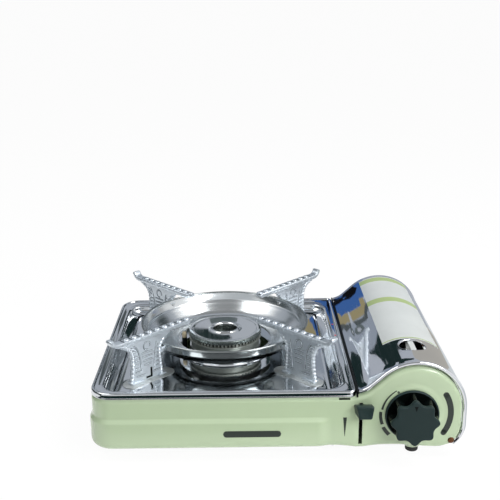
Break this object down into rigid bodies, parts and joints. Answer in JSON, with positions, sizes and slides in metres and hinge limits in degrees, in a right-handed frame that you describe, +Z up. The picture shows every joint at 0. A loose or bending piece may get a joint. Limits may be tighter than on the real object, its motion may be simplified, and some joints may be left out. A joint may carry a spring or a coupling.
{
  "type": "portable butane cassette stove",
  "caption": "Portable single-burner gas stove with drip tray, wind bowl, four pan supports, hinged canister lid, control knob and canister lever.",
  "frame": {"origin": "centre of the bounding box in plan, on the surface that the rubber feet stand on", "axes": "+X towards the canister side, +Y towards the rear, so the knob faces -Y, and +Z up"},
  "size_m": [0.345, 0.27, 0.11],
  "materials": {
    "painted_shell": "gloss",
    "mirror_steel": "polished",
    "spun_steel": "satin",
    "zinc_casting": "satin",
    "burner_alloy": "satin",
    "plated_sheet": "zinc plated",
    "dark_sheet": "matt",
    "brass": "machined",
    "dark_plastic": "semi-gloss",
    "black_rubber": "matt",
    "ceramic": "glazed ceramic",
    "wire_sleeve": "woven",
    "copper_pin": "copper plated"
  },
  "bodies": {
    "stove": {"body_shell": "painted_shell", "bottom_plate": "painted_shell", "foot_front_left": "black_rubber", "foot_front_right": "black_rubber", "foot_rear_left": "black_rubber", "foot_rear_right": "black_rubber", "bottom_screws": "plated_sheet", "drip_tray": "mirror_steel", "partition": "dark_sheet", "valve_bracket": "plated_sheet", "valve_body": "burner_alloy", "regulator_cap": "zinc_casting", "socket_seal": "black_rubber", "chassis_screws": "plated_sheet", "nozzle": "brass", "air_shutter": "plated_sheet", "mixing_tube": "burner_alloy", "burner_bracket": "plated_sheet", "burner_body": "burner_alloy", "burner_ring": "burner_alloy", "burner_core": "burner_alloy", "burner_cap": "burner_alloy", "heat_strip": "plated_sheet", "electrode_bracket": "plated_sheet", "electrode_insulator": "ceramic", "electrode_rod": "plated_sheet", "ignition_wire": "wire_sleeve", "piezo_body": "dark_plastic", "hinge_pin_front": "copper_pin", "hinge_pin_rear": "copper_pin", "lever_spring": "plated_sheet"},
    "control": {"knob": "dark_plastic", "knob_spindle": "plated_sheet"},
    "striker": {"piezo_plunger": "dark_plastic"},
    "lever": {"lever_button": "dark_plastic", "lever_arm": "plated_sheet"},
    "canister_cradle": {"cradle": "plated_sheet"},
    "canister_lid": {"lid": "mirror_steel"},
    "pan_support": {"wind_bowl": "spun_steel", "leg_front_left": "zinc_casting", "leg_front_right": "zinc_casting", "leg_rear_left": "zinc_casting", "leg_rear_right": "zinc_casting", "leg_rivets": "plated_sheet"}
  },
  "joints": [
    {"name": "knob_turn", "type": "hinge", "parent": "stove", "child": "control", "pos_m": [0.1222, -0.1165, 0.0445], "axis": [0, -1, 0], "range_deg": [0, 150]},
    {"name": "striker_slide", "type": "slide", "parent": "stove", "child": "striker", "axis": [-1, 0, 0], "range_m": [0, 0.003]},
    {"name": "cradle_slide", "type": "slide", "parent": "stove", "child": "canister_cradle", "axis": [0, -1, 0], "range_m": [0, 0.008]},
    {"name": "lever_slide", "type": "slide", "parent": "stove", "child": "lever", "axis": [0, 0, -1], "range_m": [0, 0.025], "deforming": ["lever_spring"]},
    {"name": "lid_hinge", "type": "hinge", "parent": "stove", "child": "canister_lid", "pos_m": [0.15918, 0, 0.0173], "axis": [0, 1, 0], "range_deg": [0, 95]},
    {"name": "pan_support_lift", "type": "slide", "parent": "stove", "child": "pan_support", "axis": [0, 0, 1], "range_m": [0, 0.08]}
  ],
  "couplings": [
    {"joint": "striker_slide", "follows": "knob_turn", "m_per_rad": 0.001145},
    {"joint": "lever_slide", "follows": "cradle_slide", "ratio": 3.125}
  ]
}
